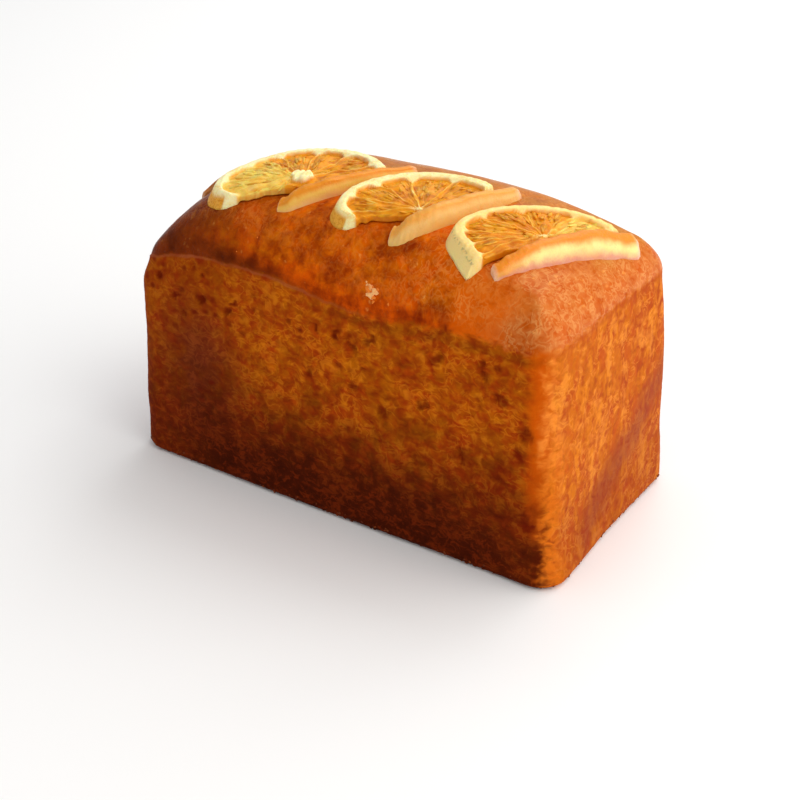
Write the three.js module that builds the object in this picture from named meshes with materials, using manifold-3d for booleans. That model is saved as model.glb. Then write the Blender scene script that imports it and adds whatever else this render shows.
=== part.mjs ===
// Orange pound cake loaf from a slim rectangular tin: one uncut cake with a domed top, three half slices
// of dried orange and four strips of candied peel.
// Millimetres, +Z up. The long side lies along X, the origin is the middle of the base.

import * as THREE from 'three';
import { mergeVertices } from 'three/addons/utils/BufferGeometryUtils.js';
import Module from 'manifold-3d';

// Loaf: plan size at the rim, where the side walls end and the domed top begins
const rimLength = 170;
const rimWidth = 86.2;
const rimHeight = 85.7;
const cornerRadius = 9.7;       // upright corners, seen from above
const baseSpread = 4.2;         // the base stands this much further out than the rim
const wallBelly = 0.9;          // outward bow half way up a wall
const baseRounding = 3;         // lower edge, all round
const footSwell = 2.4;            // two opposite corners of the foot baked out past the tin's lower edge
const rimLip = 0.4;             // the walls swell out just under the rim
const leftLip = 1.5;            // and more so towards the left end
const rimSag = 4;               // the rim hangs lower in the middle of the long sides
const rimSagPlace = 12;
const rimSagReach = 26;

// Domed top
const domeRise = 18.6;
const domeTilt = 4.0;           // the dome stands this much higher at the right end than in the middle
const shoulderRise = 6.8;
const shoulderReach = 12.5;
const leftShoulderReach = 34.4; // the left end slopes down from much further in
const shoulderMeeting = 8;      // how sharply the slope of the left end meets the shoulder
const domePowerRight = 2.33;    // how square the dome is towards each end and side
const domePowerLeft = 5.6;
const domePowerSide = 4.43;
const crestShift = -0.05;       // the crest lies a little in front of the middle line
const leftDrop = 9.0;           // the left end baked lower
const leftDropReach = 41;
const wallLump = 0.4;           // broad unevenness of the walls and of the top
const topLump = 0.2;

// Grid of the loaf: cells along, across and up
const loafCells = [34, 18, 18];
const ringCrowding = 1.35;      // rings of the top lie closer together near the rim
const tightestCorner = 0.5;

const toppingGap = 0.4;         // air under and between the toppings

// Dried orange slices
const sliceRadius = 30;
const sliceCore = 0.8;          // notch at the middle of the cut
const fleshStations = [3, 7.5, 13, 19];
const pithWidth = 5.6;
const rindHeight = 5;
const rindFall = 0.8;           // the outer edge of the rind lies this much lower than its inner edge
const pulpHeight = 2.9;
const membraneHeight = 4.1;
const segmentCount = 6;
const cellsPerSegment = 6;
// turn is the way the cut edge points, squash how much the slice shrank across its cut, and extra the
// number of cells by which the arc runs on past the half at its near tip
const slices = [
  { x: -28.2, y: -19.9, turn: 26.8, size: 0.995, squash: 0.96, extra: 0, farLift: 0, tipLift: 0.1 },
  { x: 22.7, y: -20.4, turn: 27.3, size: 0.965, squash: 0.95, extra: 0, farLift: 1.4, tipLift: 0 },
  { x: 62.1, y: -9.6, turn: 50.0, size: 1.02, squash: 0.61, extra: 5, farLift: 1.2, tipLift: 0.3 },
];

// Candied peel strips: from, by way of and to, along the foot of the front face; tall is its full height
const stripThickness = 3.5;
const stripLean = 0.2;          // backward lean, as run over rise
const stripTaper = 0.25;        // share of its thickness that a strip loses towards the top
const stripCrown = 0.35;        // roundness of its top edge
const stripCells = [18, 2, 3];
const strips = [
  { from: [-28.8, -32.6], by: [-15.6, -32.3], to: [0.8, 11.3], tall: 5.2, nearTall: 1.4, farTall: 2.6 },
  { from: [18.0, -33.8], by: [33.3, -35.9], to: [40.7, 14.8], tall: 6.7, nearTall: 1.6, farTall: 1.5 },
  { from: [59.2, -33.5], by: [70.3, -15.4], to: [81.5, 25.8], tall: 7.0, nearTall: 2.2, farTall: 4.2 },
  { from: [-72.5, -19.0], by: [-68.0, -11.0], to: [-62.0, -2.0], tall: 3.6, nearTall: 2.8, farTall: 2.0 },
];

const halfLength = rimLength / 2;
const halfWidth = rimWidth / 2;

const clamp = THREE.MathUtils.clamp;
const smooth = THREE.MathUtils.smoothstep;
const lerp = THREE.MathUtils.lerp;

// Broad, shallow unevenness of the baked surface
function lump(height, x, y, z) {
  const wave = Math.sin(0.098 * x + 0.11 * z + 0.6) + Math.sin(0.127 * y - 0.083 * z + 2.1);
  const cross = Math.sin(0.151 * x - 0.118 * y + 1.3) * Math.sin(0.139 * z + 0.4);
  return height * (0.5 * wave + 0.6 * cross);
}

// Distance inwards from the rim, whose corners are round
function insideRim(x, y) {
  const fromEnd = halfLength - Math.abs(x);
  const fromSide = halfWidth - Math.abs(y);
  if (fromEnd >= cornerRadius || fromSide >= cornerRadius) {
    return Math.min(fromEnd, fromSide);
  }
  return cornerRadius - Math.hypot(cornerRadius - fromEnd, cornerRadius - fromSide);
}

// How steeply the top bends down at a plan point: 1 on the rim, 0 inside the shoulder
function shoulderBend(x, y) {
  const allRound = 1 - clamp(insideRim(x, y) / shoulderReach, 0, 1);
  const leftEnd = 1 - clamp((halfLength + x) / leftShoulderReach, 0, 1);
  return Math.min((allRound ** shoulderMeeting + leftEnd ** shoulderMeeting) ** (1 / shoulderMeeting), 1);
}

// Height of the cake's top above any plan point
function topHeight(x, y) {
  const u = x / halfLength;
  const v = y / halfWidth;
  const bend = shoulderBend(x, y);
  const shoulder = Math.sqrt(1 - bend ** 2);
  const across = Math.abs(v - crestShift * (1 - v * v));
  const along = Math.abs(u) ** (x < 0 ? domePowerLeft : domePowerRight);
  const dome = clamp(1 - along, 0, 1) * clamp(1 - across ** domePowerSide, 0, 1);
  const drop = leftDrop * clamp((leftDropReach - halfLength - x) / leftDropReach, 0, 1) ** 2;
  const sag = rimSag * Math.exp(-(((x - rimSagPlace) / rimSagReach) ** 2)) * smooth(bend, 0.1, 1);
  const swell = (domeTilt * u + lump(topLump, x, y, rimHeight)) * (1 - bend);
  return rimHeight + shoulderRise * shoulder + domeRise * dome - drop - sag + swell;
}

// Point of a rounded rectangle for a point (p, q) on the edge of the unit square
function roundedOutline(p, q, halfX, halfY, radius) {
  const x = p * halfX;
  const y = q * halfY;
  const cornerX = clamp(x, radius - halfX, halfX - radius);
  const cornerY = clamp(y, radius - halfY, halfY - radius);
  const away = Math.hypot(x - cornerX, y - cornerY);
  return [cornerX + ((x - cornerX) / away) * radius, cornerY + ((y - cornerY) / away) * radius];
}

// How far a wall stands outside the rim at a share of its height
function wallOffset(share, x, z) {
  const spread = baseSpread * (1 - share) ** 1.5;
  const belly = 4 * wallBelly * share * (1 - share);
  const lipBand = smooth(share, 0.6, 0.82) - smooth(share, 0.88, 1);
  const lip = (rimLip + leftLip * smooth(-x / halfLength, 0, 1)) * lipBand;
  const low = Math.min(z, baseRounding);
  const undercut = baseRounding - Math.sqrt(baseRounding ** 2 - (baseRounding - low) ** 2);
  return spread + belly + lip - undercut;
}

// Spreads even grid lines so that they crowd towards both ends of 0..1
const crowdEnds = (t) => 0.5 - 0.5 * Math.cos(Math.PI * t) * (0.55 + 0.45 * Math.abs(Math.cos(Math.PI * t)));

function cleanGeometry(geometry) {
  geometry.deleteAttribute('normal');
  geometry.deleteAttribute('uv');
  return mergeVertices(geometry, 1e-4);
}

// Moves every point of a unit box, whose sides run from 0 to 1, by a rule
function shapedBox(cells, rule) {
  const box = cleanGeometry(new THREE.BoxGeometry(1, 1, 1, ...cells));
  const place = box.attributes.position;
  for (let i = 0; i < place.count; i += 1) {
    place.setXYZ(i, ...rule(place.getX(i) + 0.5, place.getY(i) + 0.5, place.getZ(i) + 0.5));
  }
  return box;
}

// Extra length of the foot towards its two swollen corners
function footReach(share, x, y) {
  const towardsCorner = smooth((-x * y) / (halfLength * halfWidth), -0.2, 1);
  return footSwell * towardsCorner * (1 - smooth(share, 0.02, 0.2));
}

function wallPoint(p, q, share) {
  const [rimX, rimY] = roundedOutline(p, q, halfLength, halfWidth, cornerRadius);
  const z = share * topHeight(rimX, rimY);
  const calm = smooth(share, 0.06, 0.3) * (1 - smooth(share, 0.92, 1));
  const out = wallOffset(share, rimX, z) + lump(wallLump, rimX, rimY, z) * calm;
  const reach = halfLength + out + footReach(share, rimX, rimY);
  return [...roundedOutline(p, q, reach, halfWidth + out, cornerRadius), z];
}

// Top and base are nested rings of cells, each inset from the one before, down to a line in the middle
function loafPoint(a, b, c) {
  const [cellsX, cellsY] = loafCells;
  const ring = Math.round(Math.min(a * cellsX, (1 - a) * cellsX, b * cellsY, (1 - b) * cellsY));
  const p = ((2 * a - 1) * cellsX) / (cellsX - 2 * ring);
  if (ring === 0) {
    return wallPoint(p, 2 * b - 1, crowdEnds(c));
  }
  const inset = halfWidth * ((2 * ring) / cellsY) ** ringCrowding;
  let x = p * (halfLength - inset);
  let y = 0;
  if (2 * ring < cellsY) {
    const q = ((2 * b - 1) * cellsY) / (cellsY - 2 * ring);
    const radius = Math.max(cornerRadius - inset, tightestCorner);
    [x, y] = roundedOutline(p, q, halfLength - inset, halfWidth - inset, radius);
  }
  return [x, y, c === 0 ? 0 : topHeight(x, y)];
}

// Height of a slice's upper side over its under side, by radius and by angle from the cut, 0 to pi
function sliceThickness(r, angle, radius) {
  const segment = Math.PI / segmentCount;
  const toMembrane = Math.abs(angle / segment - Math.round(angle / segment)) * segment * r;
  const toRind = radius - pithWidth - r;
  const wall = Math.min(toMembrane, Math.max(toRind, 0), Math.max(r - 1.5, 0));
  const flesh = membraneHeight - (membraneHeight - pulpHeight) * smooth(wall, 0.2, 1.6);
  const rind = rindHeight - rindFall * smooth(r, radius - 1.2, radius);
  return lerp(flesh, rind, smooth(r, radius - pithWidth - 0.4, radius - pithWidth + 0.9));
}

function sliceGeometry(slice) {
  const radius = sliceRadius * slice.size;
  const flesh = radius - pithWidth;
  const stations = [sliceCore, ...fleshStations, flesh - 0.6, flesh + 1.2, radius - 1.2, radius];
  const halfCells = segmentCount * cellsPerSegment;
  const cells = [stations.length - 1, halfCells + slice.extra, 1];
  const turn = THREE.MathUtils.degToRad(slice.turn);
  return shapedBox(cells, (a, b, c) => {
    const r = stations[Math.round(a * (stations.length - 1))];
    const angle = (Math.PI * b * cells[1]) / halfCells;
    const along = r * Math.cos(angle);
    const across = r * Math.sin(angle) * slice.squash;
    const x = slice.x + along * Math.cos(turn) - across * Math.sin(turn);
    const y = slice.y + along * Math.sin(turn) + across * Math.cos(turn);
    const farShare = Math.max(along / radius, 0) ** 2;
    const tipShare = Math.max(-along / radius, 0) ** 2;
    const under = topHeight(x, y) + toppingGap + slice.farLift * farShare + slice.tipLift * tipShare;
    return [x, y, under + c * sliceThickness(r, angle, radius)];
  });
}

// Plan point and sideways direction of a strip at a share of its length
function stripPath(strip, share) {
  const curve = new THREE.QuadraticBezierCurve(
    new THREE.Vector2(...strip.from),
    new THREE.Vector2(...strip.by),
    new THREE.Vector2(...strip.to),
  );
  const tangent = curve.getTangent(share);
  return { foot: curve.getPoint(share), back: new THREE.Vector2(-tangent.y, tangent.x) };
}

function stripTall(strip, share) {
  const near = lerp(strip.nearTall, strip.tall, smooth(share, 0, 0.4));
  return lerp(near, strip.farTall, smooth(share, 0.7, 1));
}

function stripGeometry(strip) {
  return shapedBox(stripCells, (a, b, c) => {
    const { foot, back } = stripPath(strip, a);
    const tall = stripTall(strip, a);
    const rise = c * tall;
    const narrowing = 1 - stripTaper * smooth(c, 0.5, 1);
    const depth = stripThickness * (0.5 + (b - 0.5) * narrowing) + stripLean * rise;
    const x = foot.x + back.x * depth;
    const y = foot.y + back.y * depth;
    const crown = stripCrown * (1 - (2 * b - 1) ** 2) * smooth(c, 0.6, 1);
    return [x, y, topHeight(x, y) + toppingGap + rise + crown];
  });
}

// Upright block in front of a strip's back face, which the slice behind the strip is trimmed with
function stripClearance(strip) {
  const steps = 12;
  const reach = 34;
  const backs = [];
  const fronts = [];
  for (let i = 0; i <= steps; i += 1) {
    const { foot, back } = stripPath(strip, i / steps);
    const depth = stripThickness + stripLean * strip.tall + toppingGap;
    backs.push(new THREE.Vector2(foot.x + back.x * depth, foot.y + back.y * depth));
    fronts.unshift(new THREE.Vector2(foot.x - back.x * reach, foot.y - back.y * reach));
  }
  const plan = new THREE.Shape([...backs, ...fronts]);
  const block = new THREE.ExtrudeGeometry(plan, { depth: 80, steps: 1, bevelEnabled: false });
  return block.translate(0, 0, rimHeight - 20);
}

const wasm = await Module();
wasm.setup();

function toSolid(geometry) {
  const clean = cleanGeometry(geometry.clone());
  return new wasm.Manifold(new wasm.Mesh({
    numProp: 3,
    vertProperties: new Float32Array(clean.attributes.position.array),
    triVerts: new Uint32Array(clean.index.array),
  }));
}

function toGeometry(solid) {
  const mesh = solid.getMesh();
  const geometry = new THREE.BufferGeometry();
  geometry.setAttribute('position', new THREE.BufferAttribute(mesh.vertProperties, 3));
  geometry.setIndex(new THREE.BufferAttribute(mesh.triVerts, 1));
  return geometry;
}

const crust = new THREE.MeshStandardMaterial({ color: 0x9c4a12, roughness: 0.62, metalness: 0 });
const driedOrange = new THREE.MeshStandardMaterial({ color: 0xf0b64c, roughness: 0.45, metalness: 0 });
const candiedPeel = new THREE.MeshStandardMaterial({ color: 0xe79a3c, roughness: 0.4, metalness: 0 });

const cake = new THREE.Group();

function addPiece(name, geometry, material) {
  const piece = new THREE.Mesh(geometry, material);
  piece.name = name;
  cake.add(piece);
}

addPiece('loaf', shapedBox(loafCells, loafPoint), crust);

slices.forEach((slice, i) => {
  const trimmed = toSolid(sliceGeometry(slice)).subtract(toSolid(stripClearance(strips[i])));
  addPiece(`orange_slice_${i + 1}`, toGeometry(trimmed), driedOrange);
});

strips.forEach((strip, i) => {
  addPiece(`peel_strip_${i + 1}`, stripGeometry(strip), candiedPeel);
});

export default cake;
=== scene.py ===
import math
from types import SimpleNamespace

import bpy
import numpy as np
from mathutils import Matrix, Vector


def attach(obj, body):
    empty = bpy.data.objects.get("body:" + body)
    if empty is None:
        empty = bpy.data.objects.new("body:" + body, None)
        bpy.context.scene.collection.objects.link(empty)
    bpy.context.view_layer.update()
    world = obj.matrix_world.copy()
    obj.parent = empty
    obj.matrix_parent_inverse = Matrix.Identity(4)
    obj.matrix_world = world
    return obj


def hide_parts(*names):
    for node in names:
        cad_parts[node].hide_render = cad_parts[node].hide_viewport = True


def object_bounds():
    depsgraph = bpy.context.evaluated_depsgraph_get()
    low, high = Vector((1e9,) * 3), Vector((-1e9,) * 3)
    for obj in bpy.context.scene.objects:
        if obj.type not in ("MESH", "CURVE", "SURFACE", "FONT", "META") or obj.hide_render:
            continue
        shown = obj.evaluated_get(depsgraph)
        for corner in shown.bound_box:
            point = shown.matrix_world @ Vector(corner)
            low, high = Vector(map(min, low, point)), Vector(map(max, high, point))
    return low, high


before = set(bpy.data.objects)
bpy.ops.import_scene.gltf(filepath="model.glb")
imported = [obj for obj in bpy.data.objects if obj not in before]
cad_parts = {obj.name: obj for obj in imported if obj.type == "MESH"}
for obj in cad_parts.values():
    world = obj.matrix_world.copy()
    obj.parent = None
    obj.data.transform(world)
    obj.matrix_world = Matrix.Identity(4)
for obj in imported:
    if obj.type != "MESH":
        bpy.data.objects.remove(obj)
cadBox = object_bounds()
scene = bpy.context.scene
mm = 0.001


def ease(t, low, high):
    s = np.clip((t - low) / (high - low), 0, 1)
    return s * s * (3 - 2 * s)


def blendTo(a, b, share):
    return a + (b - a) * share


def wave(x, y, z, size, seed):
    # smooth unevenness between -1 and 1, as a sum of crossed waves
    rng = np.random.default_rng(seed)
    total = 0
    for strength in (1.0, 0.7, 0.5, 0.35):
        turn = rng.normal(size=3)
        turn *= (2 * math.pi / size) / np.linalg.norm(turn) * rng.uniform(0.7, 1.5)
        total = total + strength * np.sin(turn[0] * x + turn[1] * y + turn[2] * z + rng.uniform(0, 6.28))
    return total / 2.0


class Wire:
    # a node's output; sums written on it add their Math nodes
    def __init__(self, bench, socket):
        self.bench = bench
        self.socket = socket

    def math(self, operation, *others):
        return self.bench.math(operation, self, *others)

    def __add__(self, other):
        return self.math("ADD", other)

    def __radd__(self, other):
        return self.math("ADD", other)

    def __mul__(self, other):
        return self.math("MULTIPLY", other)

    def __rmul__(self, other):
        return self.math("MULTIPLY", other)

    def __sub__(self, other):
        return self.math("SUBTRACT", other)

    def __rsub__(self, other):
        return self.bench.math("SUBTRACT", other, self)

    def __rtruediv__(self, other):
        return self.bench.math("DIVIDE", other, self)

    def __pow__(self, other):
        return self.math("POWER", other)

    def size(self):
        return self.math("ABSOLUTE")

    def clamped(self):
        return self.bench.add("ShaderNodeClamp", {}, [self])

    def atLeast(self, other):
        return self.math("MAXIMUM", other)


class Bench:
    # a node tree being wired; add() makes any node from its type, settings and socket values
    def __init__(self, tree):
        self.tree = tree

    def add(self, kind, settings=None, sockets=None, out=0):
        node = self.tree.nodes.new(kind)
        for name, value in (settings or {}).items():
            setattr(node, name, value)
        pairs = enumerate(sockets) if isinstance(sockets, (list, tuple)) else (sockets or {}).items()
        for key, value in pairs:
            if isinstance(value, Wire):
                self.tree.links.new(value.socket, node.inputs[key])
            elif value is not None:
                node.inputs[key].default_value = value
        if isinstance(out, (list, tuple)):
            return [Wire(self, node.outputs[o]) for o in out]
        return Wire(self, node.outputs[out])

    def math(self, operation, *values):
        return self.add("ShaderNodeMath", {"operation": operation}, list(values))

    def vector(self, operation, *values, out=0):
        return self.add("ShaderNodeVectorMath", {"operation": operation}, list(values), out)

    def stretch(self, place, factors):
        return self.vector("MULTIPLY", place, factors)

    def scaled(self, place, size):
        return self.add("ShaderNodeVectorMath", {"operation": "SCALE"}, {0: place, "Scale": size})

    def join(self, x, y, z):
        return self.add("ShaderNodeCombineXYZ", {}, [x, y, z])

    def split(self, vector):
        return self.add("ShaderNodeSeparateXYZ", {}, [vector], [0, 1, 2])

    def attribute(self, name, out="Fac"):
        # what a material reads from the piece
        return self.add("ShaderNodeAttribute", {"attribute_name": name}, {}, out)

    def objectPlace(self):
        # where a material is on the object, in millimetres
        return self.scaled(self.add("ShaderNodeTexCoord", {}, {}, "Object"), 1000)

    def bump(self, height):
        # relief in millimetres
        return self.add("ShaderNodeBump", {}, {"Strength": 1.0, "Distance": mm, "Height": height}, "Normal")

    def named(self, name, kind="FLOAT"):
        # what a geometry tree reads from the piece
        return self.add("GeometryNodeInputNamedAttribute", {"data_type": kind}, {"Name": name}, "Attribute")

    def store(self, geometry, name, value, kind="FLOAT", domain="POINT"):
        return self.add("GeometryNodeStoreNamedAttribute", {"data_type": kind, "domain": domain},
                        {"Geometry": geometry, "Name": name, "Value": value}, "Geometry")

    def position(self):
        return self.add("GeometryNodeInputPosition", {}, {}, "Position")

    def chance(self, seed, low, high):
        # a random value for each spot or instance
        return self.add("FunctionNodeRandomValue", {"data_type": "FLOAT"}, {
            2: low, 3: high, "ID": self.add("GeometryNodeInputIndex", {}, {}, "Index"), "Seed": seed}, 1)

    def ramp(self, value, low, high, fromLow=0.0, fromHigh=1.0):
        # smooth step of value between low and high
        return self.add("ShaderNodeMapRange", {"interpolation_type": "SMOOTHSTEP"},
                        [value, low, high, fromLow, fromHigh])

    def noise(self, place, size, detail=2.0, rough=0.5, twist=0.0, out=0):
        # cloudy values from 0 to 1, in lumps of about this size; output 1 is a colour of three such values
        return self.add("ShaderNodeTexNoise", {}, {
            "Vector": place, "Scale": 1.0 / size, "Detail": detail, "Roughness": rough,
            "Distortion": twist}, out)

    def mix(self, share, a, b):
        a, b = [(*c, 1) if isinstance(c, tuple) and len(c) == 3 else c for c in (a, b)]
        return self.add("ShaderNodeMix", {"data_type": "RGBA"}, {0: share, 6: a, 7: b}, 2)

    def patch(self, place, centre, radii, soft=0.5):
        # 1 at centre, fading to 0 at the radii
        away = self.vector("LENGTH", self.stretch(self.vector("SUBTRACT", place, centre),
                                                  [1 / r for r in radii]), out="Value")
        return self.ramp(away, soft, 1.0, 1.0, 0.0)


def material(name):
    # an empty material, and its tree ready for wiring
    made = bpy.data.materials.new(name)
    made.use_nodes = True
    made.node_tree.nodes.clear()
    return made, Bench(made.node_tree)


def finishMaterial(bench, sockets, second=None, share=None):
    # one principled shader, or two blended by share
    shader = bench.add("ShaderNodeBsdfPrincipled", {}, sockets, "BSDF")
    if second:
        other = bench.add("ShaderNodeBsdfPrincipled", {}, second, "BSDF")
        shader = bench.add("ShaderNodeMixShader", {}, [share, shader, other])
    output = bench.tree.nodes.new("ShaderNodeOutputMaterial")
    bench.tree.links.new(shader.socket, output.inputs["Surface"])


def meshObject(name, points, faces, materials, smooth=True):
    mesh = bpy.data.meshes.new(name)
    mesh.from_pydata([tuple(p) for p in points], [], faces)
    mesh.update()
    if smooth:
        mesh.polygons.foreach_set("use_smooth", [True] * len(mesh.polygons))
    for m in materials:
        mesh.materials.append(m)
    made = bpy.data.objects.new(name, mesh)
    scene.collection.objects.link(made)
    return made


def giveAttribute(piece, name, values):
    attribute = piece.data.attributes.new(name, "FLOAT", "POINT")
    attribute.data.foreach_set("value", np.asarray(values, np.float32).ravel())


def boxShell(nu, nv, nw, oneFaceBelow=False):
    # surface of a unit box cut into cells: shares a, b, c of each point, and faces that look outwards
    index = -np.ones((nu + 1, nv + 1, nw + 1), int)
    i, j, k = np.indices(index.shape)
    edgeOn = (i == 0) | (i == nu) | (j == 0) | (j == nv) | (k == nw)
    bottom = (k == 0) & (edgeOn if oneFaceBelow else True)
    onSkin = edgeOn | bottom
    if oneFaceBelow:
        onSkin &= ~((k == 0) & (i > 0) & (i < nu) & (j > 0) & (j < nv))
    index[onSkin] = np.arange(onSkin.sum())
    shares = np.column_stack([i[onSkin] / nu, j[onSkin] / nv, k[onSkin] / nw])
    quads = []

    def side(grid, flip):
        a, b, c, d = grid[:-1, :-1], grid[1:, :-1], grid[1:, 1:], grid[:-1, 1:]
        order = (a, d, c, b) if flip else (a, b, c, d)
        quads.append(np.stack(order, -1).reshape(-1, 4))

    side(index[:, :, nw], False)
    side(index[:, 0, :], False)
    side(index[:, nv, :], True)
    side(index[0, :, :], True)
    side(index[nu, :, :], False)
    faces = [tuple(f) for f in np.concatenate(quads).tolist()]
    if oneFaceBelow:
        rim = [*index[:nu, 0, 0], *index[nu, :nv, 0], *index[nu:0:-1, nv, 0], *index[0, nv:0:-1, 0]]
        faces.append(tuple(int(v) for v in rim[::-1]))
    else:
        quads = []
        side(index[:, :, 0], True)
        faces += [tuple(f) for f in quads[0].tolist()]
    return shares, faces


def grow(piece, tree, values, name):
    # runs a node tree on a piece and returns the result as a plain mesh object
    modifier = piece.modifiers.new(tree.name, "NODES")
    modifier.node_group = tree
    for item in tree.interface.items_tree:
        if item.item_type == "SOCKET" and item.in_out == "INPUT" and item.name in values:
            modifier[item.identifier] = values[item.name]
    graph = bpy.context.evaluated_depsgraph_get()
    mesh = bpy.data.meshes.new_from_object(piece.evaluated_get(graph), preserve_all_data_layers=True,
                                           depsgraph=graph)
    piece.modifiers.remove(modifier)
    mesh.name = name
    made = bpy.data.objects.new(name, mesh)
    scene.collection.objects.link(made)
    return made


def geometryTree(name, inputs):
    # a tree with named inputs of these kinds and first values, its bench, and a wire from each input
    tree = bpy.data.node_groups.new(name, "GeometryNodeTree")
    tree.interface.new_socket("Geometry", in_out="INPUT", socket_type="NodeSocketGeometry")
    for title, (kind, value) in inputs.items():
        socket = tree.interface.new_socket(title, in_out="INPUT", socket_type="NodeSocket" + kind)
        if value is not None:
            socket.default_value = value
    tree.interface.new_socket("Geometry", in_out="OUTPUT", socket_type="NodeSocketGeometry")
    bench = Bench(tree)
    names = ["Geometry", *inputs]
    wires = dict(zip(names, bench.add("NodeGroupInput", {}, {}, names)))
    return tree, bench, wires


def endTree(bench, geometry, paint):
    # every tree ends in Realize Instances and Set Material
    real = bench.add("GeometryNodeRealizeInstances", {}, {"Geometry": geometry}, "Geometry")
    painted = bench.add("GeometryNodeSetMaterial", {}, {"Geometry": real, "Material": paint}, "Geometry")
    output = bench.tree.nodes.new("NodeGroupOutput")
    bench.tree.links.new(painted.socket, output.inputs["Geometry"])


view = {
    "azimuth": 34.051, "elevation": 29.839, "roll": -0.297,    # degrees
    "distance": 592.73, "shiftRight": 0.01, "shiftUp": 21.72,  # millimetres
    "lens": 70.006,
}


def makeCamera():
    az, el, roll = [math.radians(view[k]) for k in ("azimuth", "elevation", "roll")]
    right = Vector((math.cos(az), math.sin(az), 0))
    up = Vector((-math.sin(el) * math.sin(az), math.sin(el) * math.cos(az), math.cos(el)))
    back = Vector((math.sin(az) * math.cos(el), -math.cos(az) * math.cos(el), math.sin(el)))
    place = back * view["distance"] + right * view["shiftRight"] + up * view["shiftUp"]
    turnedRight = right * math.cos(roll) + up * math.sin(roll)
    turnedUp = up * math.cos(roll) - right * math.sin(roll)
    camera = bpy.data.objects.new("camera", bpy.data.cameras.new("camera"))
    camera.data.lens = view["lens"]
    camera.data.clip_start = 0.01
    camera.matrix_world = Matrix((
        (turnedRight.x, turnedUp.x, back.x, place.x * mm),
        (turnedRight.y, turnedUp.y, back.y, place.y * mm),
        (turnedRight.z, turnedUp.z, back.z, place.z * mm),
        (0, 0, 0, 1)))
    scene.collection.objects.link(camera)
    scene.camera = camera


makeCamera()
print("camera placed")


loafForm = {
    "rimLength": 170.0, "rimWidth": 86.2, "rimHeight": 85.7, "cornerRadius": 9.7,
    "baseSpread": 4.2, "wallBelly": 0.9, "baseRounding": 3.0, "footSwell": 2.4, "footTuck": 1.2,
    "rimLip": 0.4, "leftLip": 1.2, "rimSag": 4.0, "rimSagPlace": 12.0, "rimSagReach": 26.0,
    "domeRise": 18.6, "domeTilt": 4.0, "shoulderRise": 6.8, "shoulderReach": 12.5,
    "leftShoulderReach": 34.4, "shoulderMeeting": 8, "domePowerRight": 2.33, "domePowerLeft": 5.6,
    "domePowerSide": 4.43, "crestShift": -0.05, "leftDrop": 9.0, "leftDropReach": 41.0,
    "wallLump": 0.4, "topLump": 0.2,
    "cells": (200, 104, 104), "ringCrowding": 1.18,
    # where the dressed side is more pitted: share, x, z, length, height
    "pittedSpots": ((0.50, -58, 71, 24, 9), (0.55, 6, 71, 14, 6), (0.34, 50, 76, 14, 6)),
    # its larger dark dents: x, z, length, height, slope
    "dents": (
        (-66.8, 68.4, 6.0, 3.4, 0.2), (-55.6, 70.1, 4.6, 3.2, 0.0), (-63.7, 62.8, 4.2, 3.0, 0.0),
        (-41.0, 71.8, 4.6, 2.2, 0.0), (-4.6, 72.5, 2.6, 4.2, 0.0), (3.1, 72.3, 4.6, 3.2, 0.6),
        (10.1, 69.0, 5.6, 3.2, -0.6), (16.4, 73.7, 5.6, 3.0, 0.6), (-8.4, 53.6, 3.2, 5.0, 0.0),
        (43.5, 74.4, 5.6, 3.8, 0.0), (61.4, 74.1, 4.2, 3.8, 0.0), (68.1, 67.2, 6.6, 4.6, 0.3),
        (77.5, 57.6, 5.4, 6.6, 0.0), (80.5, 23.6, 6.0, 6.0, 0.0), (54.0, 41.7, 3.2, 6.0, 0.2),
        (23.0, 48.8, 4.4, 5.0, -0.3), (38.4, 56.1, 6.6, 3.6, 0.3), (11.2, 54.8, 7.0, 2.6, 0.2),
        (75.6, 49.3, 6.0, 4.0, 0.0),
    ),
}
halfLength = loafForm["rimLength"] / 2
halfWidth = loafForm["rimWidth"] / 2


def lump(height, x, y, z):
    # broad unevenness of the baked skin
    rise = np.sin(0.098 * x + 0.11 * z + 0.6) + np.sin(0.127 * y - 0.083 * z + 2.1)
    cross = np.sin(0.151 * x - 0.118 * y + 1.3) * np.sin(0.139 * z + 0.4)
    return height * (0.5 * rise + 0.6 * cross)


def insideRim(x, y):
    # how far a point lies inside the rim's rounded rectangle
    corner = loafForm["cornerRadius"]
    fromEnd, fromSide = halfLength - np.abs(x), halfWidth - np.abs(y)
    square = np.minimum(fromEnd, fromSide)
    rounded = corner - np.hypot(corner - fromEnd, corner - fromSide)
    return np.where((fromEnd >= corner) | (fromSide >= corner), square, rounded)


def shoulderBend(x, y):
    # 1 at the rim, falling to 0 where the shoulder has turned into the dome
    meeting = loafForm["shoulderMeeting"]
    allRound = 1 - np.clip(insideRim(x, y) / loafForm["shoulderReach"], 0, 1)
    leftEnd = 1 - np.clip((halfLength + x) / loafForm["leftShoulderReach"], 0, 1)
    return np.minimum((allRound ** meeting + leftEnd ** meeting) ** (1 / meeting), 1)


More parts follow.
